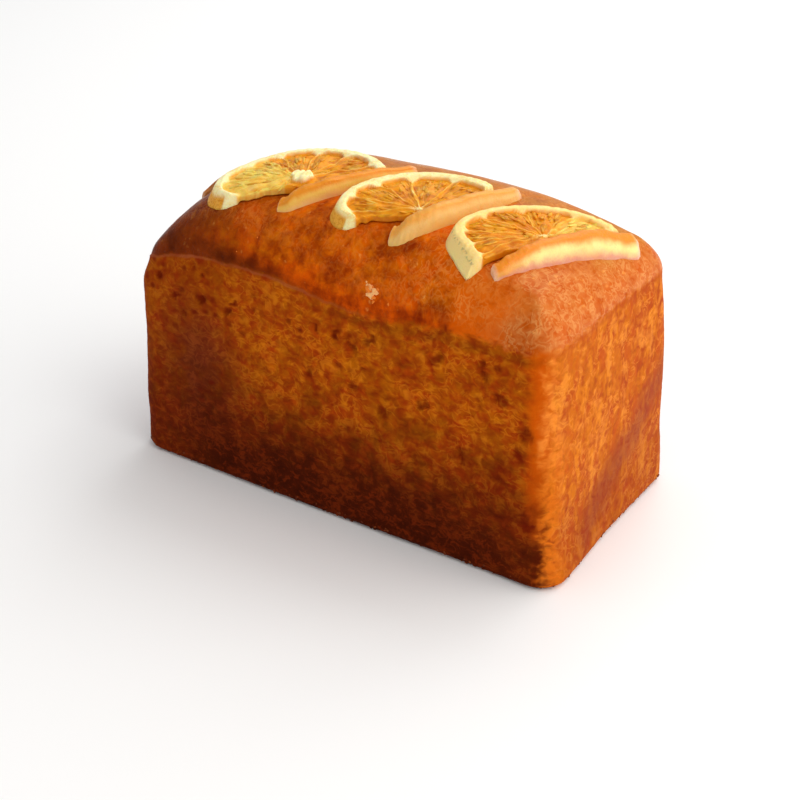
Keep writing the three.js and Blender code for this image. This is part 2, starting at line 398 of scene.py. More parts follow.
def topHeight(x, y):
    f = loafForm
    u, v = x / halfLength, y / halfWidth
    bend = shoulderBend(x, y)
    across = np.abs(v - f["crestShift"] * (1 - v * v))
    along = np.abs(u) ** np.where(x < 0, f["domePowerLeft"], f["domePowerRight"])
    dome = np.clip(1 - along, 0, 1) * np.clip(1 - across ** f["domePowerSide"], 0, 1)
    drop = f["leftDrop"] * np.clip((f["leftDropReach"] - halfLength - x) / f["leftDropReach"], 0, 1) ** 2
    sag = f["rimSag"] * np.exp(-(((x - f["rimSagPlace"]) / f["rimSagReach"]) ** 2)) * ease(bend, 0.1, 1)
    swell = (f["domeTilt"] * u + lump(f["topLump"], x, y, f["rimHeight"])) * (1 - bend)
    shoulder = np.sqrt(np.maximum(1 - bend ** 2, 0))
    return f["rimHeight"] + f["shoulderRise"] * shoulder + f["domeRise"] * dome - drop - sag + swell


def roundedOutline(p, q, halfX, halfY, radius):
    # a square's edge, p and q from -1 to 1, drawn as a rounded rectangle
    x, y = p * halfX, q * halfY
    cornerX = np.clip(x, radius - halfX, halfX - radius)
    cornerY = np.clip(y, radius - halfY, halfY - radius)
    away = np.maximum(np.hypot(x - cornerX, y - cornerY), 1e-9)
    return cornerX + (x - cornerX) / away * radius, cornerY + (y - cornerY) / away * radius


def wallOffset(share, x, z):
    # how far a wall stands outside the rim at a share of its height
    f = loafForm
    spread = f["baseSpread"] * (1 - share) ** 1.5
    belly = 4 * f["wallBelly"] * share * (1 - share)
    band = ease(share, 0.34, 0.84) - ease(share, 0.88, 1)
    lip = (f["rimLip"] + f["leftLip"] * ease(-x / halfLength, 0, 1)) * band
    r = f["baseRounding"]
    undercut = r - np.sqrt(r ** 2 - (r - np.minimum(z, r)) ** 2)
    return spread + belly + lip - undercut


def loafPoints(shares):
    f = loafForm
    nx, ny, nz = f["cells"]
    a, b, c = shares.T
    ring = np.rint(np.minimum(np.minimum(a * nx, (1 - a) * nx), np.minimum(b * ny, (1 - b) * ny)))
    p = (2 * a - 1) * nx / (nx - 2 * ring)
    q = np.where(2 * ring < ny, (2 * b - 1) * ny / np.maximum(ny - 2 * ring, 1), 0)
    # walls
    share = c - 0.1 * np.sin(2 * np.pi * c)
    rimX, rimY = roundedOutline(p, q, halfLength, halfWidth, f["cornerRadius"])
    wallZ = share * topHeight(rimX, rimY)
    calm = ease(share, 0.06, 0.3) * (1 - ease(share, 0.92, 1))
    out = wallOffset(share, rimX, wallZ) + lump(f["wallLump"], rimX, rimY, wallZ) * calm
    towardsCorner = ease(-rimX * rimY / (halfLength * halfWidth), -0.2, 1)
    foot = f["footSwell"] * towardsCorner * (1 - ease(share, 0.02, 0.2))
    tuck = f["footTuck"] * ease(rimX, -20, 60) * ease(-rimY, 0, 40) * (1 - ease(share, 0.05, 0.4))
    wallX, wallY = roundedOutline(p, q, halfLength + out + foot, halfWidth + out - tuck, f["cornerRadius"])
    # top, in nested rings
    inset = halfWidth * (2 * ring / ny) ** f["ringCrowding"]
    radius = np.maximum(f["cornerRadius"] - inset, 0.5)
    topX, topY = roundedOutline(p, q, halfLength - inset, np.maximum(halfWidth - inset, 0.6), radius)
    spine = 2 * ring >= ny
    topX = np.where(spine, p * (halfLength - inset), topX)
    topY = np.where(spine, 0, topY)
    onTop = ring > 0.5
    x = np.where(onTop, topX, wallX)
    y = np.where(onTop, topY, wallY)
    z = np.where(onTop, topHeight(topX, topY), wallZ)
    rimZ = topHeight(rimX, rimY)
    fromRim = np.where(onTop, np.hypot(inset, z - rimZ), (share - 1) * rimZ)
    return np.column_stack([x, y, z]), fromRim


crumbLook = {
    # relief, in millimetres
    "pitSize": 5.2, "pitDepth": 0.85, "markDepth": 0.5, "grainSize": 2.2, "grainHeight": 0.36,
    "lumpSize": 13.0, "lumpHeight": 0.3, "seed": 4,
    # the colour pattern's sizes and places, in millimetres
    "broadSize": 42, "patchSize": 14, "clumpSize": 6, "fineSize": 0.9, "crumbSize": 2.7, "warmthSize": 3.4,
    "strandSize": 3.3, "hairSize": 2.3, "poreSize": 3.6, "dashSize": 2.1, "swirlSize": 4.5, "swirlReach": 3.8,
    "uprightSize": 6.5, "grooveSize": 3.4, "dripSize": 3.2,
    "stainAt": (-57, -45, 41), "stainReach": (27, 60, 42), "paintedShadeAt": (74, -45, 36), "paintedShadeReach": (34, 60, 27),
    "cornerTurn": 79.5, "endTurn": 84.2,
    # how strongly each tone covers the crumb below it
    "fleckShare": 0.32, "stainShare": 0.85, "paintedCornerLightShare": 0.8, "gritShare": 0.32, "poreShare": 0.7,
    "pitShare": 0.75, "creaseShare": 0.7, "warmShare": 0.74, "shoulderShare": 0.88, "glintShare": 0.36,
    # colours of the long walls
    "golden": (0.72, 0.195, 0.002), "goldenDark": (0.18, 0.021, 0.001),
    "ruddy": (0.58, 0.070, 0.002), "ruddyDark": (0.15, 0.009, 0.001),
    "fleck": (0.88, 0.27, 0.012), "pit": (0.125, 0.005, 0.0005), "paintedCornerLight": (0.62, 0.090, 0.001),
    "base": (0.034, 0.004, 0.0006), "baseRed": (0.095, 0.010, 0.001), "grit": (0.30, 0.034, 0.004),
    "purple": (0.19, 0.030, 0.008), "purpleDark": (0.070, 0.008, 0.002),
    # lipShade is painted shade under the rim's lip
    "lipShade": (0.14, 0.026, 0.001), "crease": (0.38, 0.092, 0.030),
    # colours of the end walls
    "end": (0.52, 0.120, 0.003), "endRuddy": (0.40, 0.056, 0.003), "endPale": (0.78, 0.26, 0.030),
    "endGold": (0.76, 0.235, 0.006), "endRed": (0.50, 0.070, 0.004), "streak": (0.25, 0.036, 0.018),
    # painted highlight on the upright corner
    "corner": (0.70, 0.155, 0.006), "paleCornerHighlight": (0.90, 0.26, 0.034),
    # colours of the glazed dome
    "amber": (0.82, 0.205, 0.003), "amberDark": (0.30, 0.035, 0.001),
    "rust": (0.80, 0.104, 0.001), "rustDark": (0.23, 0.018, 0.001),
    "shoulder": (0.145, 0.021, 0.003), "shoulderDark": (0.076, 0.011, 0.0015),
    "warm": (0.46, 0.080, 0.002), "peachSheen": (0.70, 0.30, 0.090), "lit": (0.80, 0.125, 0.002),
    "honeySheen": (0.47, 0.185, 0.020), "glint": (0.98, 0.42, 0.09),
}


def roundSpots(b, place, size, near, far):
    # round spots about a size apart, and an even chance for each
    span, tone = b.add("ShaderNodeTexVoronoi", {"feature": "F1"}, {"Vector": place, "Scale": 1 / size},
                       ["Distance", "Color"])
    return b.ramp(span, near, far), b.add("ShaderNodeSeparateColor", {}, [tone], 0)


def crumbPattern(b):
    # unevenness at several sizes, curled crumbs, and how red or yellow the crumb is
    look, p = crumbLook, SimpleNamespace()
    p.place = b.scaled(b.attribute("rest", "Vector"), 1000)
    p.x, p.y, p.z = b.split(p.place)
    p.fromRim, p.pit, p.dent = [b.attribute(n) for n in ("fromRim", "pit", "mark")]
    p.broad = b.noise(p.place, look["broadSize"], 2, 0.5, 0.4)
    p.patchy = b.noise(p.place, look["patchSize"], 3, 0.5, 0.5) - 0.5
    p.clump = b.noise(p.place, look["clumpSize"], 2, 0.5, 0.5) - 0.5
    p.fine = b.noise(p.place, look["fineSize"], 2, 0.5, 0.4) - 0.5
    swirl = b.vector("SUBTRACT", b.noise(p.place, look["swirlSize"], 2, 0.5, 0.0, 1), (0.5, 0.5, 0.5))
    p.bent = b.vector("ADD", p.place, b.scaled(swirl, look["swirlReach"]))
    p.crumbs = b.noise(b.stretch(p.bent, (0.8, 0.8, 1.3)), look["crumbSize"], 2, 0.45, 0.5) - 0.5
    p.warmth = b.noise(b.vector("ADD", p.bent, (31, 7, 13)), look["warmthSize"], 1.4, 0.45, 0.3) - 0.5
    strands = b.noise(b.stretch(p.bent, (0.8, 0.8, 1.1)), look["strandSize"], 1, 0.5, 0.9) - 0.5
    p.curl = b.ramp(strands.size(), 0.10, 0.0) * b.ramp(p.patchy + p.clump * 0.9 - p.warmth * 0.5, -0.16, 0.16)
    hairs = b.noise(b.stretch(p.bent, (1.1, 0.8, 0.9)), look["hairSize"], 1, 0.5, 0.8) - 0.5
    p.hair = b.ramp(hairs.size(), 0.11, 0.0) * (
        0.4 + b.ramp(p.warmth * 0.8 + p.patchy + p.clump * 0.6, -0.20, 0.24) * 0.6)
    poreSpace = b.stretch(b.mix(0.75, p.bent, p.place), (0.7, 0.7, 1.0))
    pores, chance = roundSpots(b, poreSpace, look["poreSize"], 0.46, 0.10)
    p.pore = pores * b.ramp(chance + b.attribute("pitted"), 0.95, 1.15)
    dashes, chance = roundSpots(b, b.stretch(p.bent, (0.9, 0.5, 0.7)), look["dashSize"], 0.34, 0.12)
    p.dash = dashes * b.ramp(chance, 0.62, 0.80)
    p.value = p.crumbs * 1.05 + p.clump * 0.9 + p.patchy * 0.6 + p.fine * 0.15
    p.hue = p.warmth * 0.95 + p.patchy * 0.9
    p.turn = p.x + p.z * 0.045                           # the upright corner leans a little
    p.rightEnd = b.ramp(p.turn + p.crumbs * 4 + p.clump * 5, look["endTurn"], look["endTurn"] + 4.2)
    crease = b.ramp((p.fromRim - 0.7 + p.clump * 2.5).size(), 0.8, 0.2) * b.ramp(p.x, 22, -6)
    p.crease = crease * (0.5 + p.patchy * 2).clamped() * look["creaseShare"]
    return p


def crumbTones(b, red, light, names):
    dark, bright, redDark, redBright = [crumbLook[n] for n in names]
    return b.mix(red, b.mix(light, dark, bright), b.mix(light, redDark, redBright))


def longWallColour(b, p):
    # golden crumb with redder patches, browner at the left and nearly black-red at the foot; painted shade left
    # of the corner and painted light on its rounding
    look = crumbLook
    light = b.ramp(p.value, -1.08, 1.12)
    lowRed = b.ramp(p.z + p.patchy * 20, 46, 14) * 0.22
    red = b.ramp(p.hue - p.value * 0.3 + lowRed + b.ramp(p.x, 20, 80) * 0.05, -0.36, 0.34)
    crumb = crumbTones(b, red, light, ("goldenDark", "golden", "ruddyDark", "ruddy"))
    crumb = b.mix(p.curl * look["fleckShare"], crumb, look["fleck"])
    leftBrown = b.ramp(p.x * -1 + (p.broad - 0.5) * 30, 12, 66)
    crumb = b.mix(leftBrown * 0.42, crumb, look["ruddyDark"])
    stain = b.patch(p.place, look["stainAt"], look["stainReach"], 0.1)
    crumb = b.mix((stain * b.ramp(p.patchy + p.clump * 0.6, -0.30, 0.06)) * look["stainShare"], crumb,
                  b.mix((light + p.curl * 0.4).clamped(), look["purpleDark"], look["purple"]))
    # painted shade: a darker patch on the long wall to the left of the corner
    paintedShadeByCorner = b.patch(p.place, look["paintedShadeAt"], look["paintedShadeReach"], 0.2)
    crumb = b.mix(paintedShadeByCorner * (0.42 - p.clump * 0.9).clamped(), crumb, look["ruddyDark"])
    # painted light: an orange-red band on the rounding where the long wall turns into the corner
    paintedCornerLight = b.ramp(p.turn + p.clump * 5, look["cornerTurn"], look["cornerTurn"] + 5.1)
    crumb = b.mix(paintedCornerLight * b.ramp(p.z + p.patchy * 20, 8, 34) * look["paintedCornerLightShare"], crumb, look["paintedCornerLight"])
    low = b.ramp(p.z + p.patchy * 22 + p.clump * 14 + p.warmth * 8 + b.ramp(p.x, 40, 86) * 4, 60, 8)
    crumb = b.mix(low * (1 - b.ramp(p.x, 55, 86) * 0.16 - b.ramp(p.x, -45, -80) * 0.38), crumb,
                  b.mix(light, look["base"], look["baseRed"]))
    grit = (b.ramp(p.crumbs + p.fine * 0.4, 0.02, 0.22) + p.curl * 0.8).clamped()
    return b.mix(low * grit * look["gritShare"], crumb, look["grit"])


def endWallColour(b, p):
    # brighter, with soft pale uprights, one slanting wine-red streak and a painted highlight on the upright
    # corner
    look = crumbLook
    upright = b.noise(b.stretch(p.bent, (1, 1, 0.30)), look["uprightSize"], 2, 0.5, 0.3) - 0.5
    end = b.mix(b.ramp(p.hue + upright * 0.9 + b.ramp(p.y, -30, 30) * 0.12, -0.20, 0.30),
                look["end"], look["endRuddy"])
    end = b.mix(b.ramp(p.value, 0.0, -0.45) * 0.30, end, look["ruddyDark"])
    end = b.mix(b.ramp(upright * 1.4 + p.value * 0.5, 0.0, 0.30) * 0.45, end, look["endPale"])
    groove = b.noise(b.stretch(p.bent, (1, 1, 0.35)), look["grooveSize"], 2, 0.5, 0.2) - 0.5 + upright * 0.5
    end = b.mix(b.ramp(groove, 0.02, 0.20) * 0.42, end, look["endGold"])
    end = b.mix(b.ramp(groove, -0.02, -0.18) * 0.42, end, look["endRed"])
    end = b.mix((p.curl * 0.50 + p.crumbs * 0.4 + upright * 0.3).clamped(), end, look["endPale"])
    slant = p.z - p.y * 0.62 - 23.5 + p.patchy * 9 + p.clump * 7
    streak = b.ramp(slant.size(), 14.0, 1.0) * b.ramp(p.y, -34, -14)
    end = b.mix(streak * (0.60 + p.value * 0.6), end, look["streak"])
    end = b.mix(b.ramp(p.z + p.patchy * 14, 46, 10) * 0.30, end, look["ruddyDark"])
    # painted highlight: the upright corner is a brighter orange, palest higher up
    corner = b.ramp(p.y + p.clump * 12 + p.patchy * 10, -33, -43)
    end = b.mix(corner * (0.62 + p.value * 1.8).clamped(), end,
                b.mix(b.ramp(p.z, 35, 62), look["corner"], look["paleCornerHighlight"]))
    return b.mix(b.ramp((p.fromRim + 0.4 + p.clump * 3).size(), 1.6, 0.2) * 0.45, end, look["endRuddy"])


def wallColour(b, p):
    look = crumbLook
    wall = b.mix(p.rightEnd, longWallColour(b, p), endWallColour(b, p))
    wall = b.mix(p.pore * look["poreShare"], wall, look["pit"])
    wall = b.mix(p.pit * look["pitShare"], wall, look["pit"])
    wall = b.mix(p.dent * (0.74 + p.crumbs * 0.8).clamped(), wall, look["pit"])
    # painted shade: a darker band just under the rim's lip, on the right part of the long wall
    under = b.ramp((p.fromRim + 2.2 + p.clump * 4).size(), 2.4, 0.4) * b.ramp(p.x, -25, 10) * (1 - p.rightEnd)
    wall = b.mix(under * (0.34 + p.patchy * 1.2).clamped(), wall, look["lipShade"])
    return b.mix(p.crease, wall, look["crease"])


def domeColour(b, p, drip, peachSheen):
    # rust by the rim, amber above it, brown on the left shoulder, painted peach sheen at the right end, with
    # painted light, sheen and glints
    look = crumbLook
    nearRim = b.ramp(p.fromRim + p.clump * 6, 10, 0.5)
    warm = b.ramp(p.x + p.clump * 30 + p.patchy * 20, 36, 72)
    value = p.crumbs * 0.6 + p.clump * 0.8 + p.patchy * (1.6 - warm) + p.fine * 0.25 + drip * 0.6
    light = b.ramp(value - nearRim * 0.12 + warm * 0.30, -0.60, 0.54)
    red = b.ramp(p.hue * 0.8 + p.patchy * 0.4 - value * 0.25 + nearRim * 0.44 + 0.04, -0.40, 0.40)
    dome = crumbTones(b, red, light, ("amberDark", "amber", "rustDark", "rust"))
    dome = b.mix(warm * look["warmShare"], dome, look["warm"])
    # painted light: the front of the right shoulder, which faces away from the lamps, is made brighter and more
    # saturated
    lit = b.ramp(p.y + p.clump * 8, -29, -39) * b.ramp((p.x - 57 + p.patchy * 16).size(), 17, 5)
    dome = b.mix(lit * (0.62 + p.clump).clamped(), dome, look["lit"])
    # painted sheen: peach strokes over the right end of the dome
    sheenShare = (0.18 + p.hair * 0.42 + p.crumbs * 0.8 + drip * 0.7).clamped() * (1 - lit * 0.4)
    dome = b.mix(peachSheen * sheenShare, dome, look["peachSheen"])
    # painted sheen: a lighter honey colour over the far half of the dome
    honeySheen = b.ramp(p.y + p.clump * 12, -6, 14) * (1 - b.ramp(p.x, 74, 82))
    dome = b.mix(honeySheen * (0.66 + p.clump * 0.8 + drip * 0.5).clamped(), dome, look["honeySheen"])
    shoulder = b.ramp(p.x * -1 + p.clump * 16 + nearRim * 30, 14, 74)
    dome = b.mix(shoulder * look["shoulderShare"], dome, b.mix(light, look["shoulderDark"], look["shoulder"]))
    # painted highlights: pale glints and shining strands put into the base colour
    glint = p.dash * b.ramp(p.clump * 1.4 + p.patchy + p.fine, -0.20, 0.30)
    dome = b.mix(glint * (1 - shoulder * 0.6) * look["glintShare"], dome, look["glint"])
    shine = p.hair * (1 - peachSheen * 0.5) * b.ramp(p.fromRim + p.x * 0.1, 6, 14)
    dome = b.mix(shine * (0.13 + b.ramp(p.x, 20, 50) * b.ramp(p.x, 66, 58) * 0.17), dome, look["glint"])
    dome = b.mix(p.pit * 0.5, dome, look["pit"])
    return b.mix(p.crease, dome, look["crease"])


def crumbMaterial():
    made, b = material("bakedCrumb")
    p = crumbPattern(b)
    drip = b.noise(b.stretch(p.bent, (1, 0.35, 0.35)), crumbLook["dripSize"], 2, 0.5, 0.3) - 0.5
    # where the peach sheen is painted; it also raises the coat
    peachSheen = b.ramp(p.x + p.fromRim * 0.3 + p.clump * 24 + p.patchy * 26, 50, 80)
    glazed = b.ramp(p.fromRim + p.clump * 4 + p.crumbs * 3, -0.4, 2.4)
    wallRelief = p.fine * 0.06 + p.crumbs * 0.12 + p.curl * 0.04 - p.pore * 0.1
    domeRelief = (p.fine * 0.14 + p.crumbs * 0.22 + p.clump * 0.14 + drip * 0.16
                  + p.dash * 0.08 + p.hair * 0.06)
    finishMaterial(b, {
        "Base Color": wallColour(b, p), "Normal": b.bump(wallRelief), "Roughness": 0.8, "IOR": 1.4,
        "Specular IOR Level": 0.04, "Coat Weight": p.rightEnd * 0.08, "Coat Roughness": 0.3, "Coat IOR": 1.4,
    }, {
        "Base Color": domeColour(b, p, drip, peachSheen), "Normal": b.bump(domeRelief),
        "Roughness": 0.26 + b.ramp(p.patchy, -0.1, 0.12) * 0.16,
        "IOR": 1.42, "Specular IOR Level": 0.05, "Specular Tint": (1.0, 0.36, 0.08, 1),
        "Coat Weight": b.ramp(p.y, -26, 0).atLeast(peachSheen) * 0.14, "Coat Roughness": 0.3, "Coat IOR": 1.4,
    }, glazed)
    return made


def crumbRelief():
    # pits, dents and grain pushed into the skin, calmer under the glaze and flat at the foot
    tree, b, given = geometryTree("crumbRelief", {
        "Pit Size": ("Float", 0.005), "Pit Depth": ("Float", 0.001), "Mark Depth": ("Float", 0.0005),
        "Grain Size": ("Float", 0.002), "Grain Height": ("Float", 0.0004), "Lump Size": ("Float", 0.013),
        "Lump Height": ("Float", 0.0003), "Seed": ("Float", 0.0), "Material": ("Material", None)})
    position = b.position()
    normal = b.add("GeometryNodeInputNormal", {}, {}, "Normal")
    kept = b.store(given["Geometry"], "rest", position, "FLOAT_VECTOR")
    glazed, dent, pitted = b.named("glazed"), b.named("mark"), b.named("pitted")

    def noiseOf(size, detail, out=0):
        return b.add("ShaderNodeTexNoise", {"noise_dimensions": "4D"}, {
            "Vector": position, "W": given["Seed"], "Scale": 1 / size, "Detail": detail}, out)

    bent = b.vector("ADD", position, b.scaled(noiseOf(given["Pit Size"], 1, 1), 0.0022))
    distance, tone = b.add("ShaderNodeTexVoronoi", {"feature": "F1"}, {
        "Vector": bent, "Scale": 1 / given["Pit Size"], "Randomness": 1.0}, ["Distance", "Color"])
    reach = b.ramp(b.split(tone)[0], 1 - pitted, 1.3 - pitted, 0.0, 0.46)
    pit = b.ramp(distance, reach * 0.45, reach + 0.001, 1.0, 0.0) * (1 - glazed * 0.85)
    grain = (noiseOf(given["Grain Size"], 2) - 0.5) * given["Grain Height"] * (1 - glazed * 0.7)
    broad = (noiseOf(given["Lump Size"], 2) - 0.5) * given["Lump Height"]
    aboveFoot = b.ramp(b.split(position)[2], 0.0002, 0.002)
    rise = (grain + broad * 2 - pit * given["Pit Depth"] - dent * given["Mark Depth"]) * aboveFoot
    moved = b.add("GeometryNodeSetPosition", {}, {
        "Geometry": kept, "Offset": b.scaled(normal, rise)}, "Geometry")
    endTree(b, b.store(moved, "pit", pit), given["Material"])
    return tree


def darkDents(x, y, z):
    uneven = 1.2 * (wave(x, y, z, 5, 8) - 0.5), 1.2 * (wave(x, y, z, 4, 9) - 0.5)
    dents = np.zeros(len(x))
    for dentX, dentZ, length, height, slope in loafForm["dents"]:
        along, up = x - dentX + uneven[0], z - dentZ + uneven[1]
        reach = np.hypot(along / length, (up - slope * along) / height) * 2
        dents = np.maximum(dents, ease(reach, 1.25, 0.45) * (y < 0))
    return dents


def pittedShare(x, y, z):
    pitted = 0.06 + 0.22 * ease(wave(x, y, z, 45, 3), 0.2, 0.9)
    for share, spotX, spotZ, length, height in loafForm["pittedSpots"]:
        pitted += share * np.exp(-(((x - spotX) / length) ** 2 + ((z - spotZ) / height) ** 2)) * (y < 0)
    return np.clip(pitted, 0, 0.8) * (1 - ease(x, 80, 84)) * ease(z, 16, 34)


def makeLoaf():
    shares, faces = boxShell(*loafForm["cells"], oneFaceBelow=True)
    points, fromRim = loafPoints(shares)
    raw = meshObject("loafBlank", points * mm, faces, [])
    x, y, z = points.T
    giveAttribute(raw, "glazed", ease(fromRim, -0.5, 2.5))
    giveAttribute(raw, "fromRim", fromRim)
    giveAttribute(raw, "crumbly", crumblyShare(x, y, z, fromRim))
    giveAttribute(raw, "mark", darkDents(x, y, z))
    giveAttribute(raw, "pitted", pittedShare(x, y, z))
    names = ("Pit Size", "Pit Depth", "Mark Depth", "Grain Size", "Grain Height", "Lump Size", "Lump Height")
    sizes = {name: crumbLook[name[0].lower() + name[1:].replace(" ", "")] * mm for name in names}
    made = grow(raw, crumbRelief(), {
        **sizes, "Seed": float(crumbLook["seed"]), "Material": crumbMaterial()}, "poundCakeLoaf")
    bpy.data.objects.remove(raw)
    return made


def keepInside(piece):
    # no point leaves the box of the solids
    count = len(piece.data.vertices)
    place = np.zeros(count * 3, np.float32)
    piece.data.vertices.foreach_get("co", place)
    place = place.reshape(-1, 3)
    place = np.clip(place, np.array(cadBox[0]), np.array(cadBox[1]))
    piece.data.vertices.foreach_set("co", place.ravel())
    piece.data.update()


crumbForm = {
    "density": 1.1, "smallest": 0.5, "largest": 1.35, "flatness": 0.55, "sunk": 0.1, "seed": 7,
    "footShare": 0.13, "domeShare": 0.0006, "clusterShare": 0.9,
    "cluster": (16.6, 90.6), "clusterReach": (3.4, 1.7),
    "dark": (0.10, 0.012, 0.001), "brown": (0.24, 0.045, 0.003),
    "pale": (0.90, 0.46, 0.17), "orange": (0.80, 0.20, 0.02),
}


def crumblyShare(x, y, z, fromRim):
    # loose crumbs: round the foot, in one flaky spot beside the middle slice, and a few on the dome
    form = crumbForm
    (spotX, spotZ), (length, height) = form["cluster"], form["clusterReach"]
    foot = form["footShare"] * ease(z, 4.5, 1.5) * ease(z, 0.1, 0.6)
    dome = form["domeShare"] * (fromRim > 3) * (y < 10)
    away = ((x - spotX) / length) ** 2 + ((z - spotZ + 0.4 * (x - 16)) / height) ** 2
    return foot + dome + form["clusterShare"] * np.exp(-away * 1.3) * (y < -30)


def crumbTree():
    # small uneven crumbs scattered over a surface where its crumbly attribute is high
    tree, b, given = geometryTree("looseCrumbs", {
        "Density": ("Float", 1000000.0), "Smallest": ("Float", 0.0005), "Largest": ("Float", 0.001),
        "Flatness": ("Float", 0.6), "Sunk": ("Float", 0.0001), "Seed": ("Int", 1),
        "Material": ("Material", None)})

    def chance(low, high, shift):
        return b.chance(given["Seed"] + shift, low, high)

    crumbly = b.named("crumbly")
    spots, lean = b.add("GeometryNodeDistributePointsOnFaces", {"distribute_method": "RANDOM"}, {
        "Mesh": given["Geometry"], "Density": crumbly * given["Density"], "Seed": given["Seed"]},
        ["Points", "Rotation"])
    ball = b.add("GeometryNodeMeshIcoSphere", {}, {"Radius": 0.5, "Subdivisions": 2}, "Mesh")
    bumps = b.vector("SUBTRACT", b.noise(b.position(), 0.5, 1, 0.5, 0.0, 1), (0.5, 0.5, 0.5))
    lump = b.add("GeometryNodeSetPosition", {}, {"Geometry": ball, "Offset": b.scaled(bumps, 0.9)}, "Geometry")
    spin = b.add("FunctionNodeEulerToRotation", {}, [
        b.join(chance(-0.4, 0.4, 4), chance(-0.4, 0.4, 5), chance(0.0, 6.28, 1))])
    turned = b.add("FunctionNodeRotateRotation", {"rotation_space": "LOCAL"}, [lean, spin])
    span = (chance(0.0, 1.0, 2) ** 1.5) * (given["Largest"] - given["Smallest"]) + given["Smallest"]
    span = span * b.ramp(crumbly, 0.15, 0.6, 1.0, 2.5)
    scattered = b.add("GeometryNodeInstanceOnPoints", {}, {
        "Points": spots, "Instance": lump, "Rotation": turned,
        "Scale": b.join(span * chance(0.9, 1.5, 3), span, span * given["Flatness"])}, 0)
    sunk = b.add("GeometryNodeTranslateInstances", {}, {
        "Instances": scattered, "Translation": b.join(0.0, 0.0, given["Sunk"] * -1), "Local Space": True}, 0)
    endTree(b, b.store(sunk, "tone", chance(0.0, 1.0, 6), domain="INSTANCE"), given["Material"])
    return tree


def crumbPaint():
    made, b = material("looseCrumb")
    look = crumbForm
    place = b.objectPlace()
    tone = b.attribute("tone")
    fine = b.noise(place, 0.7, 2) - 0.5
    low = b.mix((tone + fine).clamped(), look["dark"], look["brown"])
    top = b.mix((tone * 2.2 - 0.7 + fine * 1.6).clamped(), look["orange"], look["pale"])
    finishMaterial(b, {"Base Color": b.mix(b.ramp(b.split(place)[2], 20, 60), low, top), "Roughness": 0.6,
                       "Specular IOR Level": 0.15})
    return made


def makeCrumbs(surface):
    form = crumbForm
    made = grow(surface, crumbTree(), {
        "Density": form["density"] * 1000000, "Smallest": form["smallest"] * mm, "Largest": form["largest"] * mm,
        "Flatness": form["flatness"], "Sunk": form["sunk"] * mm, "Seed": form["seed"], "Material": crumbPaint(),
    }, "looseCrumbs")
    keepInside(made)
    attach(made, "root")
    print("crumbs:", len(made.data.polygons), "faces")


loaf = makeLoaf()
keepInside(loaf)
makeCrumbs(loaf)
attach(loaf, "root")
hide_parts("loaf")
print("loaf:", len(loaf.data.polygons), "faces")


orangeForm = {
    "radius": 30.0, "core": 0.35, "pithWidth": 4.5, "farPith": 1.0, "rindHeight": 4.7, "rindFall": 0.9,
    "pulpHeight": 3.0, "pulpBulge": 0.8, "membraneHeight": 3.55, "membraneWidth": 0.30,
    "ridge": 0.12, "pulpLift": 0.6, "recess": 0.5, "flare": 2.4, "tipRound": 1.2, "sink": 0.5,
    "cells": (250, 74, 6),
    "slices": (
        {"x": -28.9, "y": -17.4, "turn": 21.1, "size": 1.039, "squash": 0.932, "chord": 7.0, "extra": 4.8,
         "bulge": 3.0, "curl": 1.9, "farLift": 0.0, "membranes": (33, 63, 92, 122, 147, 176, 199),
         "wideFold": (199, 1.1), "centre": 3.9, "centreRise": 1.5, "seed": 11, "paleFrom": 132, "paleTo": 240,
         "paleRind": 0.0, "pith": (0.99, 0.88, 0.48), "deep": 0.0},
        {"x": 22.2, "y": -20.76, "turn": 24.1, "size": 1.01, "squash": 1.0, "chord": 2.7, "extra": 0.0,
         "bulge": 0.34, "curl": 4.0, "farLift": 3.0, "membranes": (33, 69, 107, 134, 159, 180),
         "wideFold": (107, 0.2), "centre": 1.2, "centreRise": 0.3, "seed": 12, "paleFrom": 300, "paleTo": 301,
         "paleRind": 0.0, "pith": (0.99, 0.86, 0.42), "deep": 0.0},
        {"x": 61.07, "y": -6.91, "turn": 51.8, "size": 1.106, "squash": 0.524, "chord": 7.8, "extra": 19.1,
         "bulge": -2.7, "curl": -0.96, "farLift": 0.0, "membranes": (20, 56, 94, 125, 161, 188, 208),
         "wideFold": (56, 0.3), "centre": 1.8, "centreRise": 0.3, "seed": 13, "paleFrom": -20, "paleTo": 55,
         "paleRind": 1.0, "pith": (0.95, 0.70, 0.27), "deep": 0.25},
    ),
}

